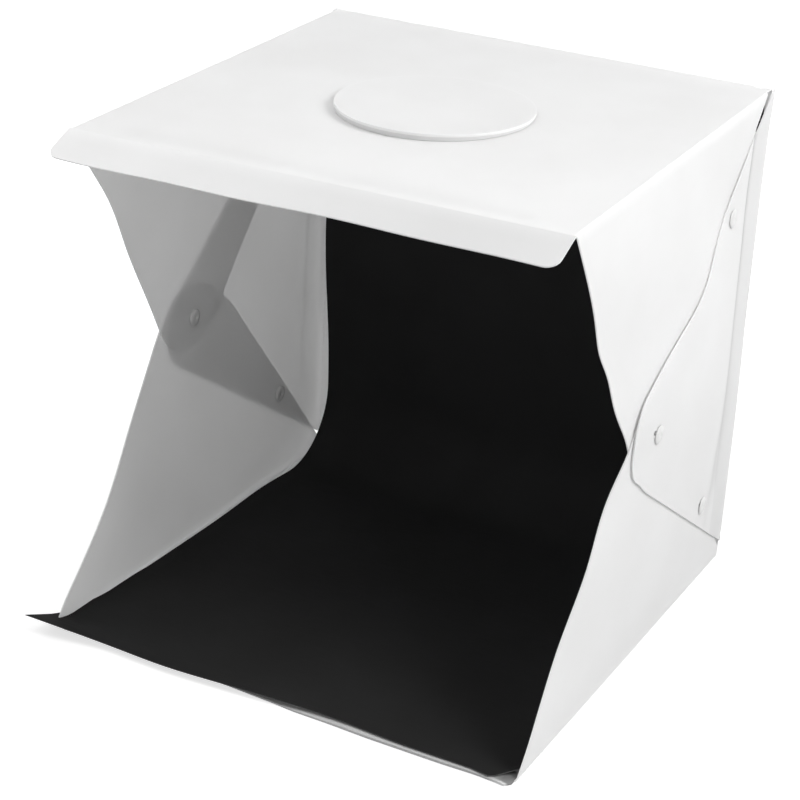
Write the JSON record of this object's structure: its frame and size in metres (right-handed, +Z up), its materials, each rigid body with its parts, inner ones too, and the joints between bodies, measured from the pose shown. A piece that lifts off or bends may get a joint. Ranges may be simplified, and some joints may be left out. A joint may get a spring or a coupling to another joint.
{
  "type": "light tent cube",
  "caption": "Folding light tent: creased white sheets with side flaps and snaps, lid over a round top port, LED bars and a curved black backdrop.",
  "frame": {"origin": "centre of the bottom panel's underside", "axes": "+Z up, -Y out of the open front, +Y to the back, +X to the right as seen from the front"},
  "size_m": [0.4074, 0.4195, 0.416],
  "materials": {
    "white_sheet": "fine matt white polypropylene sheet, slightly translucent",
    "black_sheet": "matt black plastic sheet",
    "snap_plastic": "white moulded snap caps",
    "hook_and_loop": "white hook-and-loop tape",
    "channel_plastic": "white extruded plastic",
    "led_board": "white circuit board with yellow diodes",
    "diffuser": "frosted plastic",
    "flat_lead": "flat white lead",
    "inlet_plastic": "black moulded socket"
  },
  "bodies": {
    "base": {"bottom_panel": "white_sheet", "backdrop_sheet": "black_sheet", "left_backdrop_loop_pad": "hook_and_loop", "right_backdrop_loop_pad": "hook_and_loop"},
    "back": {"back_panel": "white_sheet", "left_backdrop_hook_pad": "hook_and_loop", "right_backdrop_hook_pad": "hook_and_loop"},
    "top": {"top_panel": "white_sheet", "led_ribbon": "flat_lead", "power_inlet": "inlet_plastic", "inlet_lead": "flat_lead", "front_led_board": "led_board", "front_led_channel": "channel_plastic", "front_led_diffuser": "diffuser", "front_led_left_end_cap": "channel_plastic", "front_led_right_end_cap": "channel_plastic", "rear_led_board": "led_board", "rear_led_channel": "channel_plastic", "rear_led_diffuser": "diffuser", "rear_led_left_end_cap": "channel_plastic", "rear_led_right_end_cap": "channel_plastic", "lid_loop_pad_1": "hook_and_loop", "lid_loop_pad_2": "hook_and_loop", "lid_loop_pad_3": "hook_and_loop", "lid_loop_pad_4": "hook_and_loop"},
    "lid": {"port_lid": "white_sheet", "lid_hook_pad_1": "hook_and_loop", "lid_hook_pad_2": "hook_and_loop", "lid_hook_pad_3": "hook_and_loop", "lid_hook_pad_4": "hook_and_loop"},
    "lip": {"front_lip": "white_sheet"},
    "left_strip": {"left_back_strip": "white_sheet"},
    "left_wing": {"left_wing": "white_sheet", "left_wing_lower_snap_cap": "snap_plastic", "left_wing_middle_snap_cap": "snap_plastic", "left_wing_upper_snap_cap": "snap_plastic"},
    "left_upper_flap": {"left_upper_flap": "white_sheet", "left_upper_flap_rear_snap_cap": "snap_plastic", "left_upper_flap_tip_snap_cap": "snap_plastic"},
    "left_lower_flap": {"left_lower_flap": "white_sheet", "left_lower_flap_snap_cap": "snap_plastic"},
    "right_strip": {"right_back_strip": "white_sheet"},
    "right_wing": {"right_wing": "white_sheet", "right_wing_lower_snap_cap": "snap_plastic", "right_wing_middle_snap_cap": "snap_plastic", "right_wing_upper_snap_cap": "snap_plastic"},
    "right_upper_flap": {"right_upper_flap": "white_sheet", "right_upper_flap_rear_snap_cap": "snap_plastic", "right_upper_flap_tip_snap_cap": "snap_plastic"},
    "right_lower_flap": {"right_lower_flap": "white_sheet", "right_lower_flap_snap_cap": "snap_plastic"}
  },
  "joints": [
    {"name": "back_hinge", "type": "hinge", "parent": "base", "child": "back", "pos_m": [0, 0.207, 0], "axis": [-1, 0, 0], "range_deg": [0, 90], "deforming": ["backdrop_sheet"]},
    {"name": "top_hinge", "type": "hinge", "parent": "back", "child": "top", "pos_m": [0, 0.207, 0.416], "axis": [-1, 0, 0], "range_deg": [-12, 90]},
    {"name": "lip_hinge", "type": "hinge", "parent": "top", "child": "lip", "pos_m": [0, -0.18182, 0.40006], "axis": [1, 0, 0], "range_deg": [-22, 68]},
    {"name": "lid_lift", "type": "slide", "parent": "top", "child": "lid", "axis": [0, 0.0384, -0.9993], "range_m": [-0.15, 0]},
    {"name": "left_strip_fold", "type": "hinge", "parent": "back", "child": "left_strip", "pos_m": [-0.2014, 0.207, 0], "axis": [0, 0, -1], "range_deg": [0, 90]},
    {"name": "left_wing_fold", "type": "hinge", "parent": "left_strip", "child": "left_wing", "pos_m": [-0.2014, 0.17085, 0], "axis": [0, 0, 1], "range_deg": [-90, 0]},
    {"name": "right_strip_fold", "type": "hinge", "parent": "back", "child": "right_strip", "pos_m": [0.2014, 0.207, 0], "axis": [0, 0, 1], "range_deg": [0, 90]},
    {"name": "right_wing_fold", "type": "hinge", "parent": "right_strip", "child": "right_wing", "pos_m": [0.2014, 0.17085, 0], "axis": [0, 0, -1], "range_deg": [-90, 0]},
    {"name": "left_upper_fold", "type": "hinge", "parent": "top", "child": "left_upper_flap", "pos_m": [-0.1976, 0.20705, 0.4147], "axis": [0, -0.9993, -0.0384], "range_deg": [0, 88]},
    {"name": "right_upper_fold", "type": "hinge", "parent": "top", "child": "right_upper_flap", "pos_m": [0.1976, 0.20705, 0.4147], "axis": [0, 0.9993, 0.0384], "range_deg": [0, 85.5]},
    {"name": "left_lower_fold", "type": "hinge", "parent": "base", "child": "left_lower_flap", "pos_m": [-0.199, 0.207, 0.0013], "axis": [0, 1, 0], "range_deg": [0, 54]},
    {"name": "right_lower_fold", "type": "hinge", "parent": "base", "child": "right_lower_flap", "pos_m": [0.199, 0.207, 0.0013], "axis": [0, -1, 0], "range_deg": [0, 54]}
  ],
  "couplings": [
    {"joint": "left_lower_fold", "follows": "left_upper_fold", "ratio": 0.61},
    {"joint": "right_lower_fold", "follows": "right_upper_fold", "ratio": 0.61}
  ]
}
